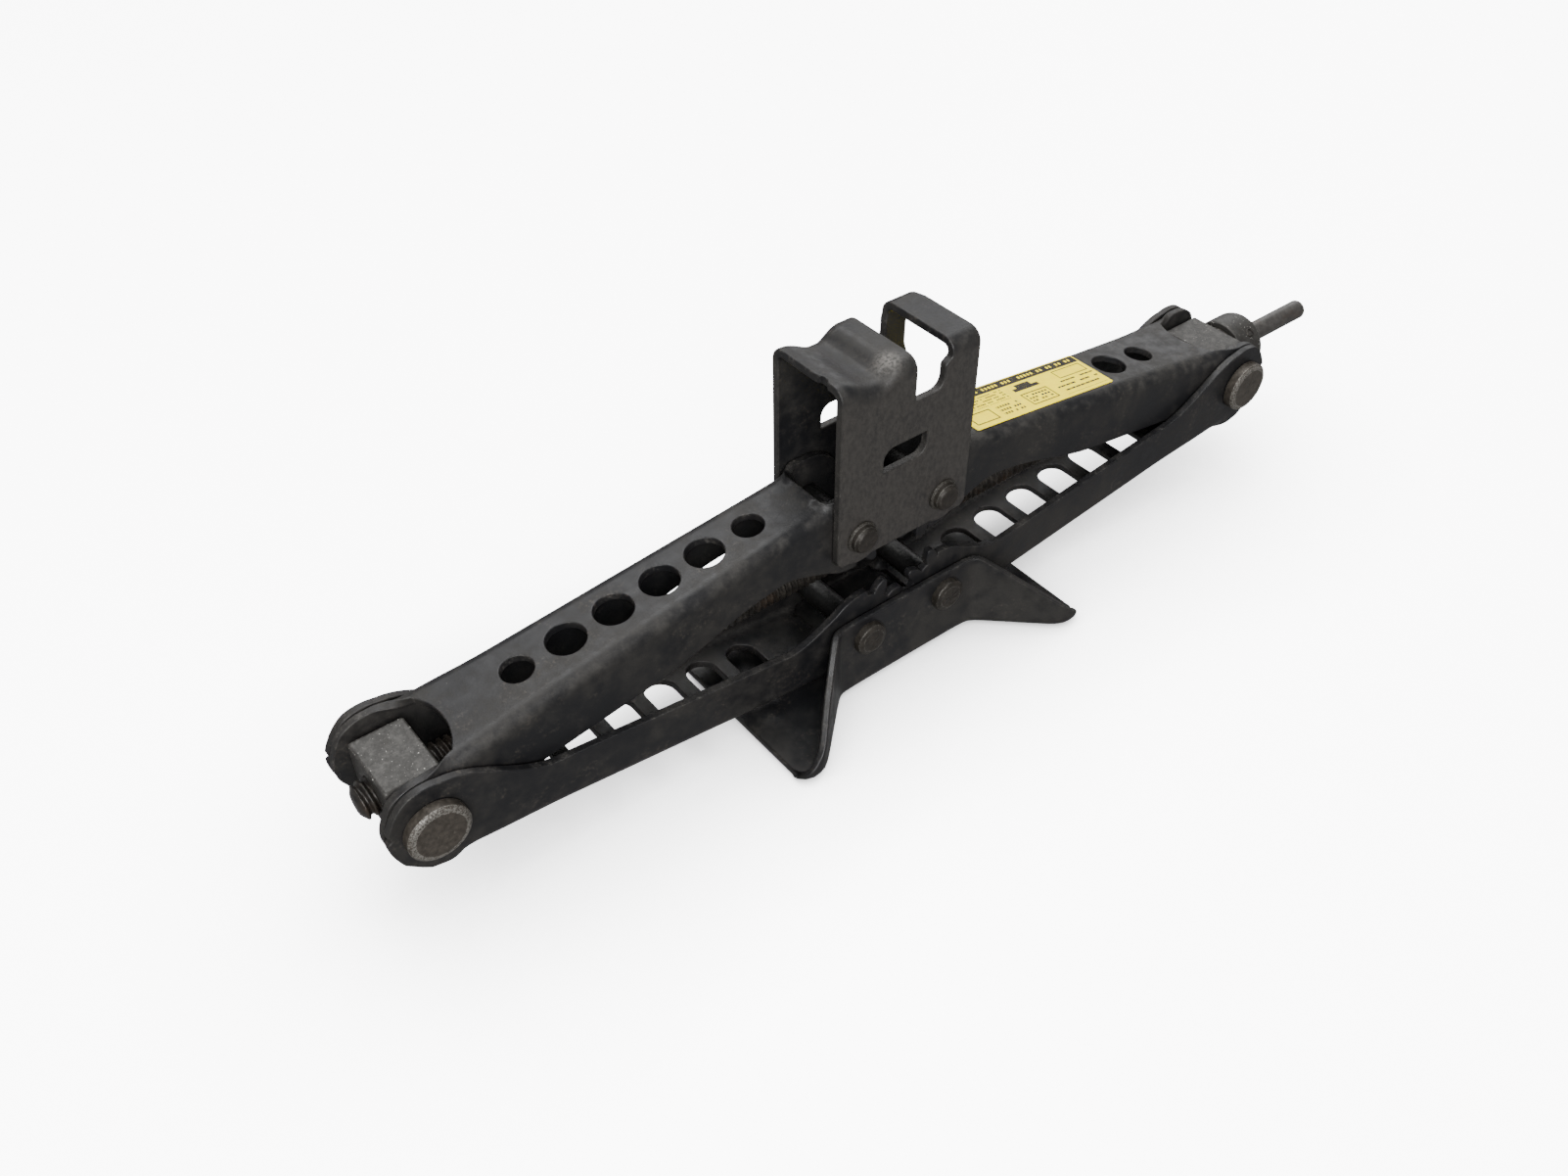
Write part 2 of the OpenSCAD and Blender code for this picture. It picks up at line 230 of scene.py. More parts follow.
def add_object(name, verts, faces, normals=None, layers=None):
    """A smooth-shaded mesh object from points in millimetres."""
    mesh = bpy.data.meshes.new(name)
    mesh.from_pydata((np.asarray(verts) * MM).tolist(), [], faces)
    for key, values in (layers or {}).items():
        layer = mesh.attributes.new(key, "FLOAT", "POINT")
        layer.data.foreach_set("value", np.asarray(values, np.float32))
    mesh.shade_smooth()
    mesh.update()
    if normals is not None:
        mesh.normals_split_custom_set_from_vertices(np.asarray(normals).tolist())
    return new_object(name, mesh)


# ---- folded sheet
EDGE_TURNS = [radians(a) for a in (30, 60, 90)]
RIM_WIDTH = 8.0


def sheet_part(name, outline, holes, fold, thick, place=None, grid_u=3.0, grid_q=None,
               edge=0.45, step=1.1, mirror_x=False, layers=None):
    """A stamped sheet. outline and holes are closed loops in the flat pattern (u, q), and fold
    takes flat points to the sheet's middle surface. The sheared edges are rounded by edge.
    The layer rim is 1 at an edge and 0 at RIM_WIDTH from it, front is 1 on the side that fold's
    normal points to and 0 on the other, and layers gives more from flat points."""
    loops = [resample(outline, step)] + [resample(h, step * 0.8) for h in holes]
    signs = [1] + [-1] * len(holes)
    outs = [loop_normals(loop) * sign for loop, sign in zip(loops, signs)]
    inner = [loop - out * edge for loop, out in zip(loops, outs)]
    low, high = loops[0].min(0), loops[0].max(0)
    us = np.arange(low[0], high[0], grid_u)
    qs = grid_q if grid_q is not None else np.arange(low[1], high[1], grid_u)
    grid = np.array([(u, q) for u in us for q in qs])
    grid = grid[inside(grid, inner)]
    grid = grid[nearest(grid, np.concatenate(inner)) > 0.8]
    flat = np.concatenate(inner + [grid])
    sides = []
    for loop in inner:
        n, start = len(loop), len(sides)
        sides += [(start + i, start + (i + 1) % n) for i in range(n)]
    got, _, tris, origin = delaunay_2d_cdt([Vector(p) for p in flat], sides, [], 0, 1e-5)[:4]
    count = len(flat)
    if len(got) != count or not all(origin):
        raise RuntimeError(f"{name}: the flat pattern crosses itself ({len(got)} points of {count})")
    tris = np.array([t for t in tris if len(t) == 3])
    tris = tris[inside(np.array([tuple(v) for v in got])[tris].mean(1), inner)]
    tris = np.array([o[0] for o in origin])[tris]
    ax, ay = (flat[tris[:, 1]] - flat[tris[:, 0]]).T
    bx, by = (flat[tris[:, 2]] - flat[tris[:, 0]]).T
    cross = ax * by - ay * bx
    tris[cross < 0] = tris[cross < 0][:, ::-1]
    tris = tris[np.abs(cross) > 1e-9]

    def surface(points):
        eps = 0.02
        mid = fold(points)
        du = fold(points + [eps, 0]) - fold(points - [eps, 0])
        dq = fold(points + [0, eps]) - fold(points - [0, eps])
        return mid, unit(np.cross(du, dq))

    half = thick / 2
    mid, normal = surface(flat)
    verts = [mid + normal * half, mid - normal * half]
    normals = [normal, -normal]
    flats = [flat, flat]
    rims = [np.clip(1 - nearest(flat, np.concatenate(loops)) / RIM_WIDTH, 0, 1)] * 2
    fronts = [np.ones(count), np.zeros(count)]
    faces = [tuple(t) for t in tris.tolist()]
    faces += [(a + count, c + count, b + count) for a, b, c in tris.tolist()]
    base, start = 2 * count, 0
    rings = [(a, 1) for a in EDGE_TURNS] + [(a, -1) for a in EDGE_TURNS[::-1]]
    for loop, out, sign in zip(loops, outs, signs):
        n = len(loop)
        index = [np.arange(start, start + n)]
        for angle, up in rings:
            points = loop - out * edge * (1 - sin(angle))
            mid, normal = surface(points)
            away = unit(fold(points + out * 0.05) - fold(points - out * 0.05))
            height = up * (half - edge + edge * cos(angle))
            verts.append(mid + normal * height)
            normals.append(unit(away * sin(angle) + normal * (up * cos(angle))))
            flats.append(points)
            rims.append(np.ones(n))
            fronts.append(np.full(n, 0.5))
            index.append(np.arange(base, base + n))
            base += n
        index.append(np.arange(start, start + n) + count)
        for a, b in zip(index, index[1:]):
            for i in range(n):
                j = (i + 1) % n
                quad = (a[i], b[i], b[j], a[j])
                faces.append(tuple(int(k) for k in (quad if sign > 0 else quad[::-1])))
        start += n
    verts, normals = np.concatenate(verts), np.concatenate(normals)
    flats, rims = np.concatenate(flats), np.concatenate(rims)
    if place is not None:
        turn = np.array(place.to_3x3())
        verts = verts @ turn.T + np.array(place.translation)
        normals = normals @ turn.T
    if mirror_x:
        verts, normals = verts * [-1, 1, 1], normals * [-1, 1, 1]
    if mirror_x != (place is not None and place.determinant() < 0):
        faces = [f[::-1] for f in faces]
    more = layers(flats) if layers is not None else {}
    return add_object(name, verts, faces, normals, {"rim": rims, "front": np.concatenate(fronts), **more})


# ---- turned pieces
def weighted_normals(verts, faces):
    """Point normals that follow the larger faces, so that a flat face stays flat to its bevel."""
    total = np.zeros_like(verts)
    for size in (3, 4):
        group = np.array([f for f in faces if len(f) == size])
        if len(group):
            corner = verts[group]
            cross = np.cross(corner[:, 2] - corner[:, 0], corner[:, -1] - corner[:, 1])
            for k in range(size):
                np.add.at(total, group[:, k], cross)
    return unit(total)


def axis_frame(axis):
    """An axis and two directions square to it, right handed together."""
    axis = Vector(axis).normalized()
    first = axis.orthogonal().normalized()
    return np.array(axis), np.array(first), np.array(axis.cross(first))


def spun(rings, origin, axis, radius_of, segments):
    """A closed surface of revolution. rings are the distances along the axis, and radius_of
    gives a ring's radii at all its angles. The two ends close in a point."""
    along, a, b = axis_frame(axis)
    origin = np.array(origin, float)
    angles = np.linspace(0, 2 * pi, segments, endpoint=False)
    circle = np.outer(np.cos(angles), a) + np.outer(np.sin(angles), b)
    verts, faces = [origin + along * rings[0][0]], []
    for t, *shape in rings[1:-1]:
        radius, shift = radius_of(t, shape, angles)
        verts += list(origin + np.outer(t + shift, along) + circle * radius[:, None])
    verts.append(origin + along * rings[-1][0])
    last = len(verts) - 1
    for i in range(segments):
        j = (i + 1) % segments
        faces.append((0, 1 + j, 1 + i))
        for k in range(len(rings) - 3):
            low, high = 1 + k * segments, 1 + (k + 1) * segments
            faces.append((low + i, low + j, high + j, high + i))
        top = 1 + (len(rings) - 3) * segments
        faces.append((top + i, top + j, last))
    return np.array(verts), faces


def lathe(name, corners, radii, origin, axis, segments=80, step=0.8, dents=0.0, seed=0):
    """A turned piece. corners are (distance along the axis, radius) from end to end, rounded by
    radii, and dents is the depth of the dings on its faces. The layer rim is 1 at a corner."""
    shape = rounded(corners, radii, 0.25)
    profile = [shape[0]]
    for p, q in zip(shape, shape[1:]):
        count = max(1, int(hypot(q[0] - p[0], q[1] - p[1]) / step))
        profile += [(p[0] + (q[0] - p[0]) * k / count, p[1] + (q[1] - p[1]) * k / count)
                    for k in range(1, count + 1)]
    random = np.random.default_rng(seed)
    waves = [(int(random.integers(1, 9)), random.uniform(0, 6.28), random.uniform(0.3, 2.2))
             for _ in range(7)]

    def radius_of(t, shape, angles):
        radius = np.full(len(angles), shape[0])
        if not dents:
            return radius, np.zeros(len(angles))
        ding = sum(np.sin(n * angles + phase + w * shape[0]) * np.cos(w * t + phase)
                   for n, phase, w in waves) / 3
        ding = np.clip(ding, -1, 1) * dents * min(1, shape[0] / 1.5)
        return radius - np.abs(ding) * 0.4, ding * 0.5 * copysign(1, -t)

    verts, faces = spun(profile, origin, axis, radius_of, segments)
    sharp = np.array([c for c, r in zip(corners, radii) if r > 0])
    rims = [0.0]
    for t, radius in profile[1:-1]:
        gap = np.hypot(sharp[:, 0] - t, sharp[:, 1] - radius).min()
        rims += [max(0.0, 1 - gap / 3)] * segments
    rims.append(0.0)
    return add_object(name, verts, faces, weighted_normals(verts, faces), {"rim": rims})


def swap(piece, body, node):
    """Put a piece on its body in place of the frame's own node."""
    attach(piece, body)
    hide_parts(node)


# ---- arms
def involute(radius):
    t = acos(min(1.0, INVOLUTE_R / radius))
    return tan(t) - t


def tooth_half(radius):
    """Half of the angle that a tooth takes up at a radius."""
    return (pi / 2 / TEETH - BACKLASH / 4 / PITCH_R
            + involute(PITCH_R) - involute(max(radius, INVOLUTE_R)))


class Arm:
    """One pressed arm in its own plane: s runs out from the inner pivot, h up from the web side.
    The web is below; an upper arm is turned over when it is placed."""

    def __init__(self, web, end_r, start, half_in, half_out, knee, shift, edge_height):
        self.web, self.end_r, self.start = web, end_r, start
        self.mid_web = web - SHEET / 2
        self.plan_s = [-24, 18, ARM - 42 + knee, ARM - 18, ARM + 24]
        self.plan_y = [half_in, half_in, half_in + (2.6 if knee else 0.3), half_out, half_out]
        self.shift, self.edge_height = shift, edge_height
        self.flat_half = half_in + 1 - SHEET / 2 - ARM_BEND
        self.turned = pi / 2 * ARM_BEND

    def half(self, s):
        """Half width of the middle surface, with its knees smoothed."""
        spread = np.array([-6, -3, 0, 3, 6])
        return np.mean([np.interp(s + d, self.plan_s, self.plan_y) for d in spread], 0) - SHEET / 2

    def q_of(self, h):
        return self.flat_half + self.turned + (self.mid_web - ARM_BEND) + h

    def q_web(self, s, y):
        return y * self.flat_half / (self.half(s) - ARM_BEND)

    def fold(self, points):
        u, q = points.T
        side, across = np.sign(q), np.abs(q)
        half = self.half(u)
        flat = half - ARM_BEND
        angle, beyond = bent(across, self.flat_half, ARM_BEND)
        y = np.where(across < self.flat_half, across / self.flat_half * flat,
                     flat + ARM_BEND * np.sin(angle))
        h = -self.mid_web + ARM_BEND * (1 - np.cos(angle)) + beyond
        straight = -(self.mid_web - ARM_BEND) + (across - self.flat_half - self.turned)
        loose = np.maximum(ease((u - (ARM - 15)) / 12), ease((self.start + 4 - u) / 9))
        loose = np.where(across > self.flat_half - 3, loose, 0)
        y = y + (half - y) * loose
        h = h + (straight - h) * loose
        return np.stack([u, y * side, h], 1)

    def bend(self, points):
        middle = self.flat_half + self.turned / 2
        return {"fold": near(np.abs(points[:, 1]), middle, 2.2)}

    def tooth(self, angle):
        """Points of one tooth, clockwise round the pivot."""
        radii = np.linspace(ROOT_R, TIP_R - 0.35, 7)
        up = [(r, angle + tooth_half(r)) for r in radii]
        tip = [(TIP_R, angle + tooth_half(TIP_R) * f) for f in (0.7, 0, -0.7)]
        down = [(r, angle - tooth_half(r)) for r in radii[::-1]]
        return [(r * cos(a), r * sin(a)) for r, a in up + tip + down]

    def flange(self):
        """Free edge of a flange from the inner end of the web, round the gear, along the arm
        and part of the way round the end pin, as points in the (s, h) plane."""
        first = -TOOTH_STEP / 2 if self.shift else 0.0
        angles = [pi - REST - first - k * TOOTH_STEP for k in range(4 if self.shift else 3)]
        path, at = [], radians(262)
        for a in angles:
            side = a + tooth_half(ROOT_R)
            path += arc((0, 0), ROOT_R, degrees(at), degrees(side) + 1.5)
            path += self.tooth(a)
            at = a - tooth_half(ROOT_R)
        if degrees(at) > 96:
            path += arc((0, 0), ROOT_R, degrees(at) - 1.5, 93)
        s = np.arange(max(0.0, path[-1][0] + 0.3), ARM + self.end_r * 0.8, 1.2)
        lobe = np.sqrt(np.maximum(LOBE_R ** 2 - s ** 2, 0))
        cap_r = self.end_radius(np.clip((s - ARM) / self.end_r, 0, 1))
        cap = np.sqrt(np.maximum(cap_r ** 2 - (s - ARM) ** 2, 0))
        body = np.where(s <= ARM, self.edge_height(np.minimum(s, ARM)), -99)
        path += list(zip(s, np.maximum(np.maximum(lobe, cap), body)))
        return path

    def end_radius(self, out):
        """Radius round the end pin, smaller where the arm points away from the jack."""
        return self.end_r - 1.5 * ease((out - 0.45) / 0.45)

    def end_cap(self, start, stop):
        """The end of a flange in degrees from the arm's own direction, with its nick."""
        points = []
        for turned in np.arange(start, stop, -4.0):
            a = radians(turned)
            radius = float(self.end_radius(cos(a)))
            if -3 < turned < 7:
                radius -= 1.3
            points.append((ARM + radius * cos(a), radius * sin(a)))
        return points

    def outline(self):
        arc_x, arc_r = ARM + 3.5, 22.0
        low = self.end_cap(25, -52 if self.web > self.end_r else -88)
        if self.web > self.end_r:
            low += [(ARM + 4.5, -self.web + 2.2), (ARM + 1.5, -self.web + 0.35)]
        half = [(self.start, 0.0), (self.start, self.flat_half - 2.5)]
        half += [(self.start - 0.9, self.flat_half - 0.9)]
        half += [(s, self.q_of(h)) for s, h in self.flange() + low]
        stop = self.half(ARM - 12) - ARM_BEND
        s_stop = arc_x - sqrt(arc_r ** 2 - stop ** 2)
        half += [(ARM - 3, self.flat_half + 0.5 * (self.web > self.end_r)),
                 (s_stop + 5, self.flat_half + 0.1)]
        for y in np.linspace(stop, 0, 16):
            s_at = arc_x - sqrt(arc_r ** 2 - y ** 2)
            half.append((s_at, float(self.q_web(s_at, y))))
        return half + [(s, -q) for s, q in half[-2:0:-1]]

    def holes(self, inner, round_holes, slots):
        """The pin holes, and the lightening holes counted from the end pin."""
        out = []
        for centre, pin in ((0, inner), (ARM, "end")):
            radius = PIN_R[pin] + PIN_PLAY[pin]
            ring = arc((centre, 0), radius, 0, 352, 0.8)
            out += [[(s, side * self.q_of(h)) for s, h in ring] for side in (-1, 1)]
        for k in round_holes:
            radius = END_HOLE_R if k in (0, 5) else HOLE_R
            ring = arc((ARM - HOLE_FROM_END - HOLE_STEP * k, 0), radius, 0, 354, 0.8)
            out.append([(s, float(self.q_web(s, y))) for s, y in ring])
        for k in slots:
            at = ARM - HOLE_FROM_END - HOLE_STEP * k
            ring = arc((at, SLOT_HALF), SLOT_R, 0, 180, 0.8)
            ring += arc((at, -SLOT_HALF), SLOT_R, 180, 360, 0.8)
            out.append([(s, float(self.q_web(s, y))) for s, y in ring])
        return out

    def rows(self):
        bend_q = self.flat_half + np.linspace(0, self.turned, 9)
        web_q = np.linspace(-self.flat_half, self.flat_half, 9)[1:-1]
        wall_q = np.arange(bend_q[-1] + 2.2, bend_q[-1] + 40, 2.6)
        return np.concatenate([-wall_q[::-1], -bend_q[::-1], web_q, bend_q, wall_q])


def upper_edge(s):
    return (4 + 12.2 * (1 - ease(s / 32)) + 5 * ease((s - 37) / 45)
            + 6.5 * ease((s - ARM + 36) / 32))


def lower_edge(s):
    return 2.2 + 14 * (1 - ease(s / 32)) + 13.2 * ease((s - ARM + 42) / 38)


def arm_place(upper):
    """The right arm's place: turned about its inner pivot, and turned over for an upper arm."""
    if upper:
        move = Matrix.Translation((HALF_GAP, 0, saddle_pivot[2]))
        return move @ Matrix.Rotation(REST, 4, "Y") @ Matrix.Diagonal((1, 1, -1, 1))
    move = Matrix.Translation((HALF_GAP, 0, base_pivot[2]))
    return move @ Matrix.Rotation(-REST, 4, "Y")


def make_arm(name, body, upper, left, round_holes=(), slots=()):
    if upper:
        arm = Arm(UPPER_WEB, 15.5, 8.0, UPPER_IN, UPPER_OUT, 6, not left, upper_edge)
    else:
        arm = Arm(LOWER_WEB, 15.6, 1.0, LOWER_IN, LOWER_OUT, 0, not left, lower_edge)
    holes = arm.holes("saddle" if upper else "base", round_holes, slots)
    piece = sheet_part(name + "_pressing", arm.outline(), holes, arm.fold, SHEET, arm_place(upper),
                       grid_q=arm.rows(), mirror_x=left, layers=arm.bend)
    swap(piece, body, name)


make_arm("lower_arm_left", "lower_left", False, True, slots=range(6))
make_arm("lower_arm_right", "lower_right", False, False, slots=range(6))
make_arm("upper_arm_left", "upper_left", True, True, round_holes=range(6))
make_arm("upper_arm_right", "upper_right", True, False, round_holes=(0, 1))


# ---- base
def pin_holes(height, pin, q_of):
    """Holes in both walls for the left and the right pin, as loops in the flat pattern."""
    radius = PIN_R[pin] + PIN_FIT
    return [[(u, side * q_of(z)) for u, z in arc((x, height), radius, 0, 352, 0.8)]
            for x in (-HALF_GAP, HALF_GAP) for side in (-1, 1)]


base_high = node_box("base_plate")[1]
BASE_SHEET = 2.5
BASE_BEND = 2.6
WAIST = 23.0
WAIST_X, FLARE_X, SHOULDER_X = 31.5, 57.5, 33.5
FLARE = (base_high[1] - WAIST) / (FLARE_X - WAIST_X + 1.0)
LEAN, LEAN_LOW, LEAN_HIGH = 1.5, 3, 20
TIP_R_PLAN = 5.0
HUMP, HUMP_X, HUMP_Y, HUMP_WIDTH = 1.5, 56, 16, 3.6
base_flat = WAIST - BASE_SHEET / 2 - BASE_BEND
base_turned = pi / 2 * BASE_BEND


def base_half(x):
    """Half width of the middle surface: straight at the waist and flared beyond it."""
    over = np.abs(x) - WAIST_X
    out = FLARE * 0.5 * (over + np.sqrt(over ** 2 + 5))
    limit = base_high[1] - WAIST - LEAN
    out = limit - 0.5 * (limit - out + np.sqrt((limit - out) ** 2 + 4))
    into_tip = np.clip((np.abs(x) - base_high[0] + TIP_R_PLAN) / TIP_R_PLAN, 0, 0.94)
    return WAIST - BASE_SHEET / 2 + out - TIP_R_PLAN * (1 - np.sqrt(1 - into_tip ** 2))


def base_fold(points):
    """The folded base. Its walls stand further out at the foot, and a hump marks each flare."""
    u, q = points.T
    across = np.abs(q)
    flat = base_half(u) - BASE_BEND
    angle, beyond = bent(across, base_flat, BASE_BEND)
    y = np.where(across < base_flat, across / base_flat * flat, flat + BASE_BEND * np.sin(angle))
    z = BASE_SHEET / 2 + BASE_BEND * (1 - np.cos(angle)) + beyond
    lean = LEAN * (1 - ease((z - LEAN_LOW) / (LEAN_HIGH - LEAN_LOW)))
    y = y + lean * np.minimum(across / base_flat, 1)
    reach = np.hypot(np.abs(u) - HUMP_X, y - HUMP_Y)
    z = z + HUMP * near(reach, 0, HUMP_WIDTH)
    return np.stack([u, y * np.sign(q), z], 1)


def base_q(z):
    return base_flat + base_turned + z - BASE_SHEET / 2 - BASE_BEND


def base_layers(points):
    middle = base_flat + base_turned / 2
    return {"fold": near(np.abs(points[:, 1]), middle, 2.4)}


tip_x, wall_z = base_high[0], base_high[2]
half = [(tip_x, base_q(2.2)), (tip_x - 3.2, base_q(5.2)), (FLARE_X, base_q(9.6)),
        (SHOULDER_X, base_q(wall_z))]
half += [(-u, q) for u, q in half[::-1]]
radii = [4, 5, 9, 4.5]
base_outline = rounded(half + [(u, -q) for u, q in half[::-1]], (radii + radii[::-1]) * 2)
base_rows = np.concatenate([np.arange(0.8, base_flat, 1.4),
                            base_flat + np.linspace(0, base_turned, 8),
                            np.arange(base_flat + base_turned + 2, 60, 2.6)])
base_piece = sheet_part("base_pressing", base_outline, pin_holes(base_pivot[2], "base", base_q),
                        base_fold, BASE_SHEET, grid_u=2.2, grid_q=both_sides(base_rows),
                        edge=0.7, layers=base_layers)
swap(base_piece, "base", "base_plate")


# ---- saddle
saddle_low, saddle_high = node_box("saddle")
SADDLE_SHEET = 3.0
SADDLE_BEND = 3.5
LEFT, RIGHT = saddle_low[0], saddle_high[0]
saddle_half = saddle_high[1] - SADDLE_SHEET / 2
saddle_top = saddle_high[2]
saddle_flat = saddle_half - SADDLE_BEND
saddle_turned = pi / 2 * SADDLE_BEND
slot_box = next(o for o in frame["record"]["physics"]["openings"] if o["name"] == "sill_slot")["box_m"]
SLOT_X0, SLOT_X1 = slot_box[0][0] / MM - 1, slot_box[1][0] / MM + 4.7
SLOT_FLOOR = slot_box[0][2] / MM - 1.5
SLOT_TOP, HOOP_X, HOOP_Z = 115.5, SLOT_X1 + 3, 117.5
DISH_DEPTH = 4.2


def dish(x):
    """Depth of the dished platform, left of the sill slot."""
    return DISH_DEPTH * ease((x + 26) / 12) * (1 - ease((x + 11) / 8))


def saddle_fold(points):
    u, q = points.T
    across = np.abs(q)
    angle, beyond = bent(across, saddle_flat, SADDLE_BEND)
    drop = SADDLE_BEND * (1 - np.cos(angle)) + beyond
    y = np.minimum(across, saddle_flat) + SADDLE_BEND * np.sin(angle)
    z = saddle_top - SADDLE_SHEET / 2 - dish(u) * (1 - ease(drop / 18)) - drop
    return np.stack([u, y * np.sign(q), z], 1)


def saddle_q(z):
    return saddle_flat + saddle_turned + saddle_top - SADDLE_SHEET / 2 - SADDLE_BEND - z


def saddle_layers(points):
    u, q = points.T
    middle = saddle_flat + saddle_turned / 2
    patch = np.exp(-((u + 4.5) / 3.2) ** 2 - ((q + saddle_flat - 1) / 3.4) ** 2)
    wall = ease((np.abs(q) - saddle_flat - 2) / 6)
    return {"fold": near(np.abs(q), middle, 2.6), "rubbed": patch, "dusty": wall}


def skirt(side):
    """Edge of a wall from its right end to its left end, with a lobe round each pin."""
    skirt_z, lobe_r = saddle_low[2] + 1.2, 11.2
    spread = degrees(acos((saddle_pivot[2] - skirt_z) / lobe_r))
    line = [(RIGHT, skirt_z + 2), (RIGHT - 2, skirt_z)]
    for x in (HALF_GAP, -HALF_GAP):
        line += arc((x, saddle_pivot[2]), lobe_r, 270 + spread, 270 - spread)
    line += [(LEFT + 2, skirt_z), (LEFT, skirt_z + 2)]
    return [(u, side * saddle_q(z)) for u, z in line]


right_edge = [(RIGHT, -saddle_q(98)), (RIGHT, saddle_flat - 3), (RIGHT - 1.2, saddle_flat + 2),
              (RIGHT - 3.2, saddle_q(112)), (RIGHT - 3.2, saddle_q(104)),
              (RIGHT - 1, saddle_q(97)), (RIGHT, saddle_q(92))]
left_edge = [(LEFT, -3.0), (LEFT + 0.3, -5.2), (LEFT + 1.1, -6.2), (LEFT + 1.0, -8.6), (LEFT, -10.2)]
saddle_outline = right_edge + skirt(1) + left_edge + skirt(-1)[::-1]
near_slot, far_slot = [[(SLOT_X0, SLOT_FLOOR), (x, SLOT_FLOOR), (x, SLOT_TOP), (HOOP_X, HOOP_Z)]
                       for x in (SLOT_X1, SLOT_X1 + 2.5)]
slot_loop = rounded([(u, -saddle_q(z)) for u, z in near_slot]
                    + [(u, saddle_q(z)) for u, z in far_slot[::-1]],
                    [0.8, 4.4, 1.5, 1.5, 1.5, 1.5, 5.0, 0.8], 0.6)
leaf = rounded([(-9.4, 84.5), (8.8, 84.5), (8.8, 93), (-9.4, 93)], [0.4, 5.2, 0.4, 5.2], 0.6)
saddle_holes = [slot_loop] + [[(u, side * saddle_q(z)) for u, z in leaf] for side in (-1, 1)]
saddle_holes += pin_holes(saddle_pivot[2], "saddle", saddle_q)
saddle_rows = np.concatenate([np.arange(1.2, saddle_flat, 2.2),
                              saddle_flat + np.linspace(0, saddle_turned, 9),
                              np.arange(saddle_flat + saddle_turned + 2, 90, 2.4)])
saddle_piece = sheet_part("saddle_pressing", saddle_outline, saddle_holes, saddle_fold, SADDLE_SHEET,
                          grid_u=1.9, grid_q=both_sides(saddle_rows), edge=0.6,
                          layers=saddle_layers)
swap(saddle_piece, "saddle", "saddle")


# ---- pins
def rivet(body, end, seed):
    """A pin with two upset heads. Its length and its heads' radius are those of its box."""
    node = f"{body}_pin_{end}"
    centre, (head, out, _) = node_middle(node)
    base, shaft = body == "base", PIN_R[body]
    head_in = WAIST if base else saddle_high[1]
    if base:
        side = [(out, 0), (out - 0.1, head * 0.7), (out - 0.7, head - 0.2), (head_in, head)]
        radii = [0, 2.0, 0.7, 0.25]
    else:
        side = [(out, 0), (out, head * 0.72), (out - 1.3, head - 0.9), (head_in + 1.1, head - 0.6),
                (head_in + 0.9, head), (head_in, head)]
        radii = [0, 1.0, 0.6, 0.2, 0.3, 0.2]
    corners = [(-t, r) for t, r in side] + [(-head_in, shaft), (head_in, shaft)] + side[::-1]
    piece = lathe(node + "_turned", corners, radii + [0, 0] + radii[::-1], [centre[0], 0, centre[2]],
                  (0, 1, 0), 72, 0.6, dents=0.35 if base else 0.12, seed=seed)
    swap(piece, body, node)


rivet("base", "left", 3)
rivet("base", "right", 8)
rivet("saddle", "left", 5)
rivet("saddle", "right", 6)


def end_pin(node, body, seed):
    """A headed pin seated in its block, on the side of the jack where its box is."""
    centre, (head, long, _) = node_middle(node)
    seat, out = abs(centre[1]) - long, abs(centre[1]) + long
    shaft, head_in = PIN_R["end"], LOWER_OUT + 0.4
    corners = [(seat, 0), (seat, shaft), (head_in, shaft), (head_in, head), (out - 0.9, head),
               (out - 0.15, head - 0.95), (out, head - 2.0), (out, 0)]
    piece = lathe(node + "_turned", corners, [0, 0.5, 0, 0.25, 0.35, 0.35, 0.6, 0],
                  [centre[0], 0, centre[2]], (0, copysign(1, centre[1]), 0), 112, 0.7,
                  dents=0.07, seed=seed)
    swap(piece, body, node)


end_pin("end_pin_left_near", "nut", 11)
end_pin("end_pin_left_far", "nut", 12)
end_pin("end_pin_right_near", "bearing", 13)
end_pin("end_pin_right_far", "bearing", 14)


# ---- blocks and washer
def facing_x(x, z):
    """Local x, y, z become the frame's y, z, x."""
    return Matrix(((0, 0, 1, x), (1, 0, 0, 0), (0, 1, 0, z), (0, 0, 0, 1)))


def flat_fold(points):
    return np.c_[points, np.zeros(len(points))]


def plate(node, ending, body, outline, bore_r, slot, **more):
    """A piece with a bore along X, as thick as its box is long."""
    centre, half = node_middle(node)
    piece = sheet_part(node + ending, outline, [arc((0, 0), bore_r, 0, 354, 0.6)], flat_fold,
                       2 * half[0], facing_x(centre[0], END_Z), **more)
    swap(piece, body, node)


def block(node, body, bore_r, edge):
    y, z = node_middle(node)[1][1:]
    outline = rounded([(-y, -z), (y, -z), (y, z), (-y, z)], edge + 0.3, 0.3)
    plate(node, "_body", body, outline, bore_r, "bare_steel", edge=edge, step=1.0)


NUT_BORE_R, BEARING_BORE_R, WASHER_BORE_R = 6.08, 5.56, 5.7
block("nut_block", "nut", NUT_BORE_R, 1.1)
block("bearing_block", "bearing", BEARING_BORE_R, 0.7)
washer_r = node_middle("thrust_washer")[1][2]
plate("thrust_washer", "_ring", "bearing", arc((0, 0), washer_r, 0, 356, 0.8), WASHER_BORE_R,
      "dark_steel", edge=0.5)


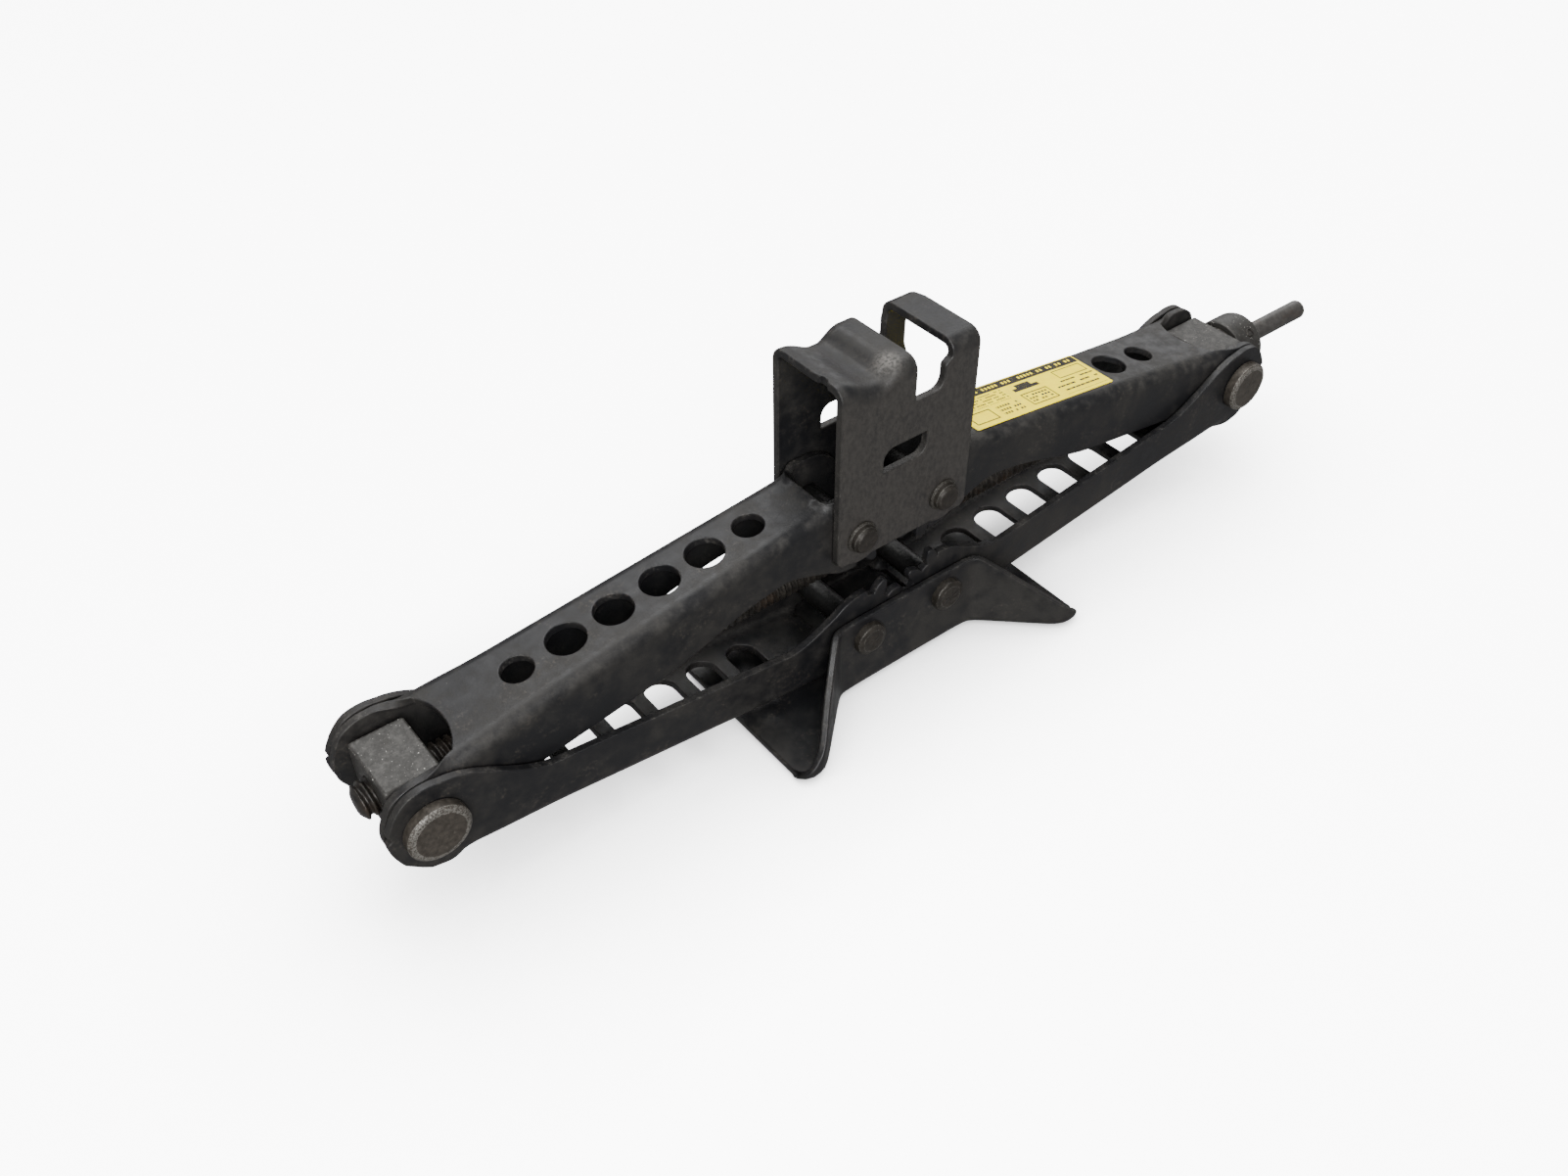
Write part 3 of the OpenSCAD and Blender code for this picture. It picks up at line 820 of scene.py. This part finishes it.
# ---- screw, collar and its pin
screw_low, screw_high = node_box("screw")
free, tip = screw_low[0], screw_high[0]
THREAD_R = (screw_high[2] - screw_low[2]) / 2
ROOT = THREAD_R - 1.15
PITCH, STEPS_A_TURN = 2.6, 9
JOURNAL_R, ROD_R, ROD_ROUND = 5.5, 4.0, 1.4
collar_low, collar_high = node_box("thrust_collar")
x0, x1, collar_r = collar_low[0], collar_high[0], (collar_high[2] - collar_low[2]) / 2
journal_x = END_X - 12


def thread(t, shape, angles):
    """Radii of the screw at t: a trapezoidal thread, worn at its free end and run out at the
    journal. A ring with one number is plain, and one with two is threaded."""
    if len(shape) == 1:
        return np.full(len(angles), shape[0]), np.zeros(len(angles))
    turn = (t / PITCH - angles / (2 * pi)) % 1.0
    rise = np.clip(np.abs(turn - 0.5) * 4 - 0.5, 0, 1)
    worn = 1 - 0.5 * ease((free + 2.4 - t) / 2) * (0.5 + 0.5 * np.sin(3 * angles + t))
    fade = ease((journal_x - t) / 3)
    radius = ROOT + (THREAD_R - ROOT) * rise * fade * worn
    return radius, np.zeros(len(angles))


rings = [(free, 0.0), (free, 2.0), (free + 0.1, 3.6), (free + 0.6, 4.5)]
rings += [(t, 0, 1) for t in np.arange(free + 1.0, journal_x, PITCH / STEPS_A_TURN)]
rings += [(journal_x, ROOT), (journal_x + 0.4, JOURNAL_R - 0.1), (journal_x + 0.8, JOURNAL_R)]
rings += [(t, JOURNAL_R) for t in np.arange(journal_x + 4, x1 - 1, 4)]
rings += [(x1 - 0.2, JOURNAL_R), (x1, JOURNAL_R - 0.2), (x1 + 0.1, ROD_R + 0.3), (x1 + 0.5, ROD_R)]
rings += [(t, ROD_R) for t in np.arange(x1 + 3, tip - 2.4, 3)]
rings += [(tip - ROD_ROUND + ROD_ROUND * sin(a), ROD_R - ROD_ROUND + ROD_ROUND * cos(a))
          for a in np.radians(range(0, 91, 15))]
rings += [(tip, 1.2), (tip, 0.0)]
verts, faces = spun(rings, (0, 0, END_Z), (1, 0, 0), thread, 40)
rod_rim = [max(0.0, 1 - abs(tip - 0.8 - v[0]) / 4) for v in verts]
screw = add_object("screw_threaded", verts, faces, weighted_normals(verts, faces),
                   {"rim": rod_rim, "plain": [float(v[0] > journal_x) for v in verts]})
swap(screw, "screw", "screw")

collar = lathe("thrust_collar_turned",
               [(x0, 0), (x0, collar_r - 0.2), (x0 + 0.9, collar_r), (x1 - 3.4, collar_r),
                (x1 - 0.3, collar_r - 3.0), (x1, collar_r - 4.2), (x1, 0)],
               [0, 0.3, 0.5, 3.0, 1.2, 0.8, 0], (0, 0, END_Z), (1, 0, 0), 112, 0.7, 0.05, 21)
swap(collar, "screw", "thrust_collar")

PIN_TILT = radians(40)
pin_axis = Vector((0, -sin(PIN_TILT), cos(PIN_TILT)))
half_pin = collar_r + 0.25
side = [(half_pin - 1.2, 0), (half_pin - 1.2, 1.0), (half_pin, 1.15), (half_pin, 1.7),
        (half_pin - 0.6, 2.0)]
pin = lathe("collar_spring_pin", [(-t, r) for t, r in side] + side[::-1],
            [0, 0, 0.1, 0.1, 0.3, 0.3, 0.1, 0.1, 0, 0], node_middle("collar_pin")[0], pin_axis, 36, 1.0)
swap(pin, "screw", "collar_pin")


# ---- rating label
LABEL_LEN, LABEL_W, LABEL_T, LABEL_FROM_END = 71.0, 22.0, 0.3, 70
label_s = ARM - LABEL_FROM_END - LABEL_LEN
label_y = 1 - LABEL_W / 2


def label_fold(points):
    h = -UPPER_WEB - LABEL_T / 2
    return np.c_[points + [label_s, label_y], np.full(len(points), h)]


def label_layers(points):
    return {"label_u": points[:, 0], "label_v": points[:, 1]}


label = sheet_part("rating_label_film",
                   rounded([(0, 0), (LABEL_LEN, 0), (LABEL_LEN, LABEL_W), (0, LABEL_W)], 0.9, 0.3), [],
                   label_fold, LABEL_T, arm_place(True), edge=0.08, layers=label_layers)
swap(label, "upper_right", "rating_label")


# ---- materials
class Shader:
    """A node material. Its textures are laid out in the piece's own millimetres."""

    def __init__(self, name):
        self.material = bpy.data.materials.new(name)
        self.material.use_nodes = True
        self.tree = self.material.node_tree
        self.tree.nodes.clear()
        place = self.add("ShaderNodeTexCoord").outputs["Object"]
        self.mm = self.add("ShaderNodeVectorMath", {0: place, 1: (1000, 1000, 1000)},
                           operation="MULTIPLY").outputs[0]

    def add(self, kind, inputs=None, **settings):
        node = self.tree.nodes.new(kind)
        for key, value in settings.items():
            setattr(node, key, value)
        for key, value in (inputs or {}).items():
            if isinstance(value, bpy.types.NodeSocket):
                self.tree.links.new(value, node.inputs[key])
            else:
                node.inputs[key].default_value = value
        return node

    def noise(self, size, detail=3.0, rough=0.55, stretch=(1, 1, 1), shift=0.0):
        """Noise with features about size mm across, longer where stretch is above 1."""
        scale = tuple(1 / (size * s) for s in stretch)
        place = self.add("ShaderNodeVectorMath", {0: self.mm, 1: scale, 2: (shift,) * 3},
                         operation="MULTIPLY_ADD").outputs[0]
        return self.add("ShaderNodeTexNoise", {"Vector": place, "Scale": 1.0, "Detail": detail,
                                               "Roughness": rough}).outputs[0]

    def span(self, value, low, high, to_low=0.0, to_high=1.0):
        return self.add("ShaderNodeMapRange", {0: value, 1: low, 2: high, 3: to_low, 4: to_high},
                        interpolation_type="SMOOTHSTEP").outputs[0]

    def math(self, kind, a, b=0.0, c=0.0):
        return self.add("ShaderNodeMath", {0: a, 1: b, 2: c}, operation=kind).outputs[0]

    def times(self, a, b):
        return self.math("MULTIPLY", a, b)

    def weigh(self, a, b, c):
        """a times b, plus c."""
        return self.math("MULTIPLY_ADD", a, b, c)

    def mix(self, amount, a, b):
        full = [v if isinstance(v, bpy.types.NodeSocket) else (*v, 1) for v in (a, b)]
        return self.add("ShaderNodeMix", {0: amount, 6: full[0], 7: full[1]},
                        data_type="RGBA").outputs[2]

    def over(self, colour, amount, share, other):
        """A colour with a share of the other laid over it where amount is 1."""
        return self.mix(self.times(amount, share), colour, other)

    def layer(self, name):
        return self.add("ShaderNodeAttribute", attribute_name=name).outputs["Fac"]

    def finish(self, colour, rough, metal=0.0, height=None, depth=0.1, specular=0.5, **more):
        inputs = {"Roughness": rough, "Metallic": metal, "Specular IOR Level": specular, **more}
        inputs["Base Color"] = colour if isinstance(colour, bpy.types.NodeSocket) else (*colour, 1)
        if height is not None:
            inputs["Normal"] = self.add("ShaderNodeBump", {"Strength": 1.0, "Distance": depth * MM,
                                                           "Height": height}).outputs[0]
        surface = self.add("ShaderNodeBsdfPrincipled", inputs).outputs[0]
        self.add("ShaderNodeOutputMaterial", {0: surface})
        return self.material


def black_paint():
    s = Shader("black_paint")
    broad, mid = s.noise(34, 4), s.noise(4.5, 5, 0.62)
    fine, grain = s.noise(0.9, 3, 0.6), s.noise(0.35, 2)
    rim, fold, rubbed = s.layer("rim"), s.layer("fold"), s.layer("rubbed")
    dust = s.span(s.weigh(mid, 0.45, s.times(broad, 0.7)), 0.46, 0.72)
    colour = s.mix(s.times(dust, 0.75), (0.0075, 0.0075, 0.0083), (0.0215, 0.0200, 0.0180))
    mottled = s.times(s.span(s.noise(1.5, 5, 0.75, shift=9), 0.50, 0.68),
                      s.span(s.noise(13, 4, 0.6, shift=15), 0.50, 0.66))
    colour = s.over(colour, mottled, 0.7, (0.046, 0.040, 0.034))
    streaks = s.noise(1.3, 5, 0.75, (1, 1, 1.8), shift=20)
    film = s.times(s.layer("dusty"), s.span(streaks, 0.34, 0.66, 0.38, 0.95))
    film = s.times(film, s.layer("front"))
    colour = s.mix(film, colour, (0.036, 0.033, 0.030))
    scuff = s.span(s.noise(1.3, 4, 0.7, (7, 1.2, 1)), 0.63, 0.78)
    scuff = s.times(scuff, s.span(broad, 0.48, 0.62))
    colour = s.over(colour, scuff, 0.45, (0.050, 0.047, 0.043))
    ragged = s.weigh(mid, 0.45, s.times(fine, 0.35))
    worn = s.span(s.math("ADD", rim, ragged), 1.42, 1.60)
    chips = s.times(s.span(s.noise(1.3, 5, 0.75, shift=7), 0.70, 0.74),
                    s.span(s.noise(21, 2, shift=3), 0.50, 0.62))
    bare = s.math("MAXIMUM", s.times(worn, 0.5), s.times(chips, 0.7))
    edge = s.times(fold, s.span(mid, 0.46, 0.74, 0.0, 0.10))
    bare = s.math("MAXIMUM", bare, edge)
    patch = s.times(rubbed, s.span(fine, 0.36, 0.60, 0.25, 0.95))
    bare = s.math("MAXIMUM", bare, patch)
    colour = s.mix(bare, colour, (0.135, 0.128, 0.118))
    rough = s.span(mid, 0.3, 0.7, 0.36, 0.50)
    rough = s.weigh(dust, 0.14, rough)
    height = s.weigh(mid, 0.8, s.times(fine, 0.22))
    height = s.weigh(grain, 0.06, height)
    height = s.weigh(chips, -0.15, height)
    return s.finish(colour, rough, s.times(bare, 0.5), height, 0.11, 0.26)


def pin_steel(name, shade):
    """Dark pin steel; shade makes it darker still, as on the pins that were painted over."""
    s = Shader(name)

    def tone(*colour):
        return tuple(c * shade for c in colour)

    broad, mid, fine = s.noise(6, 4), s.noise(1.8, 5, 0.65), s.noise(0.5, 3)
    colour = s.mix(s.span(mid, 0.35, 0.68), tone(0.030, 0.026, 0.021), tone(0.054, 0.047, 0.039))
    stain = s.span(broad, 0.52, 0.7)
    colour = s.over(colour, stain, 0.5, tone(0.021, 0.018, 0.015))
    specks = s.span(s.noise(0.8, 3, 0.6, shift=6), 0.66, 0.72)
    colour = s.over(colour, specks, 0.6, tone(0.11, 0.10, 0.085))
    # Lighter rims: worn bare edges, with a painted highlight on the head rims.
    bright = s.span(s.weigh(fine, 0.35, s.layer("rim")), 1.10, 1.20)
    colour = s.over(colour, bright, 0.7, tone(0.24, 0.23, 0.21))
    # The shaft between the walls is coloured near-black: painted shade between the walls.
    across = s.math("ABSOLUTE", s.add("ShaderNodeSeparateXYZ", {0: s.mm}).outputs["Y"])
    colour = s.mix(s.span(across, 15.5, 16.5), (0.006, 0.0058, 0.0055), colour)
    rough = s.span(mid, 0.3, 0.7, 0.38, 0.54)
    height = s.weigh(mid, 0.7, s.times(fine, 0.3))
    metal = s.weigh(bright, 0.3, 0.25)
    return s.finish(colour, rough, metal, height, 0.12, 0.3)


def bare_steel():
    s = Shader("bare_steel")
    broad, mid, fine = s.noise(9, 4), s.noise(2.2, 5, 0.65), s.noise(0.6, 4, 0.6)
    drawn = s.noise(0.8, 3, 0.6, (1, 14, 1))
    rim = s.layer("rim")
    colour = s.mix(s.span(mid, 0.35, 0.7), (0.027, 0.026, 0.024), (0.036, 0.0345, 0.032))
    oil = s.span(broad, 0.5, 0.7)
    colour = s.over(colour, oil, 0.35, (0.022, 0.019, 0.016))
    pits = s.span(s.noise(0.9, 2, 0.5, shift=4), 0.66, 0.72)
    colour = s.over(colour, pits, 0.8, (0.016, 0.015, 0.014))
    # Near-white specks: specks of grease painted white as their glints, a painted highlight.
    specks = s.span(s.noise(0.62, 2, 0.5, shift=12), 0.70, 0.74)
    colour = s.mix(specks, colour, (0.48, 0.47, 0.44))
    bright = s.span(s.weigh(mid, 0.5, rim), 1.2, 1.42)
    colour = s.over(colour, bright, 0.25, (0.16, 0.155, 0.145))
    rough = s.span(fine, 0.3, 0.7, 0.40, 0.56)
    height = s.weigh(mid, 0.6, s.times(drawn, 0.25))
    height = s.weigh(pits, -0.4, height)
    return s.finish(colour, rough, 0.3, height, 0.1, 0.3)


def dark_steel():
    s = Shader("dark_steel")
    broad, mid, fine = s.noise(11, 4), s.noise(2.4, 5, 0.65), s.noise(0.6, 3)
    rim, plain = s.layer("rim"), s.layer("plain")
    oily = s.mix(s.span(mid, 0.35, 0.7), (0.010, 0.009, 0.008), (0.030, 0.026, 0.022))
    clean = s.mix(s.span(mid, 0.35, 0.7), (0.040, 0.038, 0.036), (0.064, 0.061, 0.057))
    colour = s.mix(plain, oily, clean)
    rust = s.span(broad, 0.56, 0.7)
    colour = s.over(colour, rust, 0.35, (0.046, 0.028, 0.017))
    bright = s.span(s.weigh(mid, 0.5, rim), 1.2, 1.42)
    colour = s.over(colour, bright, 0.45, (0.20, 0.19, 0.18))
    rough = s.span(fine, 0.3, 0.7, 0.32, 0.48)
    height = s.weigh(mid, 0.6, s.times(fine, 0.3))
    return s.finish(colour, rough, 0.35, height, 0.08, 0.35)


def label_film():
    s = Shader("label_film")
    u, v = s.layer("label_u"), s.layer("label_v")

    def patch(u0, u1, v0, v1):
        return s.times(s.math("COMPARE", u, (u0 + u1) / 2, (u1 - u0) / 2),
                       s.math("COMPARE", v, (v0 + v1) / 2, (v1 - v0) / 2))

    def rows(area, pitch, length, share=0.24, dash=0.36):
        """Broken rows of dashes that stand for print too small to read."""
        across, down = s.math("DIVIDE", u, length), s.math("DIVIDE", v, pitch)
        row = s.times(s.math("COMPARE", s.math("FRACT", down), 0.5, share),
                      s.math("COMPARE", s.math("FRACT", across), 0.5, dash))
        cell = s.add("ShaderNodeCombineXYZ", {0: s.math("FLOOR", across), 1: s.math("FLOOR", down)})
        chance = s.add("ShaderNodeTexWhiteNoise", {"Vector": cell.outputs[0]},
                       noise_dimensions="3D").outputs[0]
        return s.times(s.times(row, area), s.math("GREATER_THAN", chance, 0.22))

    def frame_of(u0, u1, v0, v1, line):
        return s.math("SUBTRACT", patch(u0, u1, v0, v1),
                      patch(u0 + line, u1 - line, v0 + line, v1 - line))

    header = patch(0.6, 70.4, 17.4, 21.4)
    cut_out = rows(patch(3.0, 68.0, 18.2, 20.8), 2.6, 1.7, 0.27, 0.28)
    ink = s.math("SUBTRACT", header, cut_out)
    marks = [rows(patch(2.0, 27.0, 10.2, 16.4), 1.55, 0.9), rows(patch(16.5, 27.0, 2.0, 8.6), 2.2, 1.3),
             frame_of(2.4, 13.6, 2.2, 8.8, 0.5), frame_of(31.0, 44.5, 2.4, 10.0, 0.5),
             rows(patch(32.5, 43.0, 3.4, 9.0), 1.8, 1.6), patch(31.0, 44.0, 12.2, 14.0),
             patch(33.6, 41.0, 14.0, 16.0), frame_of(54.0, 69.0, 11.2, 16.4, 0.4),
             rows(patch(48.0, 69.5, 1.6, 9.8), 2.7, 2.6, 0.15, 0.46)]
    for mark in marks:
        ink = s.math("MAXIMUM", ink, mark)
    mid, fine = s.noise(3.5, 5, 0.65), s.noise(0.6, 3)
    faded = s.mix(s.span(mid, 0.35, 0.7), (0.92, 0.72, 0.006), (0.97, 0.80, 0.015))
    grime = s.span(s.noise(9, 5, 0.7, shift=5), 0.55, 0.75)
    faded = s.mix(s.times(grime, 0.4), faded, (0.42, 0.36, 0.16))
    ink = s.times(ink, s.span(fine, 0.22, 0.42, 0.55, 1.0))
    colour = s.mix(ink, faded, (0.018, 0.017, 0.016))
    colour = s.mix(s.span(s.noise(1.1, 5, 0.75, (5, 1, 1)), 0.68, 0.76), colour, (0.5, 0.47, 0.34))
    rough = s.span(mid, 0.3, 0.7, 0.44, 0.58)
    height = s.weigh(mid, 0.6, s.times(ink, 0.15))
    return s.finish(colour, rough, 0.0, height, 0.05, 0.08)


def floor_material():
    s = Shader("pale_floor")
    broad, mid = s.noise(260, 4), s.noise(30, 5, 0.6)
    colour = s.mix(s.span(broad, 0.3, 0.7), (0.80, 0.80, 0.81), (0.86, 0.86, 0.865))
    rough = s.span(mid, 0.3, 0.7, 0.20, 0.32)
    height = s.weigh(mid, 0.5, s.times(broad, 0.5))
    # The glow is dimmed by ambient occlusion near the jack: a painted contact shadow on the floor.
    painted_shadow_ao = s.add("ShaderNodeAmbientOcclusion", {"Distance": 0.09}, samples=12).outputs["AO"]
    glow = s.times(s.math("POWER", painted_shadow_ao, 2.2), FLOOR_GLOW)
    return s.finish(colour, rough, 0.0, height, 0.2, 0.5,
                    **{"Emission Color": (1, 1, 1, 1), "Emission Strength": glow})


MATERIALS = {"black_paint": black_paint(), "pin_steel": pin_steel("pin_steel", 1.0),
             "painted_pin": pin_steel("painted_pin", 0.5), "bare_steel": bare_steel(),
             "dark_steel": dark_steel(), "label_film": label_film()}
PAINTED = {"black_paint": ("_pressing",), "bare_steel": ("_block_body", "collar_turned"),
           "dark_steel": ("screw_threaded", "_ring", "_spring_pin"), "label_film": ("_film",),
           "painted_pin": ("_pin_left_turned", "_pin_right_turned"), "pin_steel": ("_turned",)}
for obj in bpy.context.scene.objects:
    if obj.type == "MESH":
        for key, endings in PAINTED.items():
            if obj.name.endswith(endings):
                obj.data.materials.clear()
                obj.data.materials.append(MATERIALS[key])
                break


# ---- camera, floor and light
def look(position, yaw, down, roll):
    """A camera's matrix: yaw from +X towards +Y, down below the level, roll about its axis."""
    cam_x = Vector((sin(yaw), -cos(yaw), 0))
    ahead = Vector((cos(yaw) * cos(down), sin(yaw) * cos(down), -sin(down)))
    up = cam_x.cross(ahead)
    right = cam_x * cos(roll) + up * sin(roll)
    up = up * cos(roll) - cam_x * sin(roll)
    matrix = Matrix((right, up, -ahead)).transposed().to_4x4()
    matrix.translation = Vector(position)
    return matrix


CAMERA_AT = (-0.25128, -0.27509, 0.35619)
YAW, DOWN, ROLL = 0.908036, 0.738975, -0.0032535
camera = new_object("camera", bpy.data.cameras.new("camera"))
camera.data.sensor_width = 36
camera.data.lens = 31.867
camera.matrix_world = look(CAMERA_AT, YAW, DOWN, ROLL)
camera.data.clip_start = 0.01
bpy.context.scene.camera = camera

FLOOR_HALF, FLOOR_Z, FLOOR_GLOW = 12000, -0.2, 8.0
SWEEP_IN, SWEEP_OUT, SWEEP_TOP = 4000, 8000, 9000
pale_floor = floor_material()


def stage_piece(name, verts, faces, shadow):
    """A staged surface that the camera sees and that sends no light back to the jack."""
    obj = add_object(name, verts, faces)
    obj.data.materials.append(pale_floor)
    obj.visible_diffuse = False
    obj.visible_glossy = False
    obj.visible_shadow = shadow


def sweep(rings=10, segments=64):
    """A curved wall that rises from the floor all round."""
    verts = []
    for t in np.linspace(0, 1, rings):
        radius = SWEEP_IN + (SWEEP_OUT - SWEEP_IN) * sin(t * pi / 2)
        height = FLOOR_Z + SWEEP_TOP * (1 - cos(t * pi / 2))
        verts += [(radius * cos(a), radius * sin(a), height)
                  for a in np.linspace(0, 2 * pi, segments, endpoint=False)]
    faces = [(r * segments + k, r * segments + (k + 1) % segments,
              (r + 1) * segments + (k + 1) % segments, (r + 1) * segments + k)
             for r in range(rings - 1) for k in range(segments)]
    return verts, faces


stage_piece("floor", [(x * FLOOR_HALF, y * FLOOR_HALF, FLOOR_Z)
                      for x, y in ((-1, -1), (1, -1), (1, 1), (-1, 1))], [(0, 1, 2, 3)], True)
stage_piece("backdrop", *sweep(), False)


def lamp(name, position, aim, size, power):
    """A square soft light."""
    light = bpy.data.lights.new(name, "AREA")
    light.shape, light.size, light.energy = "SQUARE", size, power
    obj = new_object(name, light)
    obj.location = position
    obj.rotation_euler = (Vector(aim) - Vector(position)).to_track_quat("-Z", "Y").to_euler()


lamp("top_softbox", (0.18, 0.42, 1.25), (0, 0, 0), 1.1, 27)
lamp("side_softbox", (1.3, 0.78, 0.58), (0, 0, 0.05), 0.8, 4.5)
lamp("front_softbox", (-0.7, -1.0, 0.8), (0, 0, 0.05), 0.9, 38)

world = bpy.data.worlds.new("world")
bpy.context.scene.world = world
world.use_nodes = True
background = world.node_tree.nodes["Background"].inputs
background["Color"].default_value = (1, 1, 1, 1)
background["Strength"].default_value = 0.35
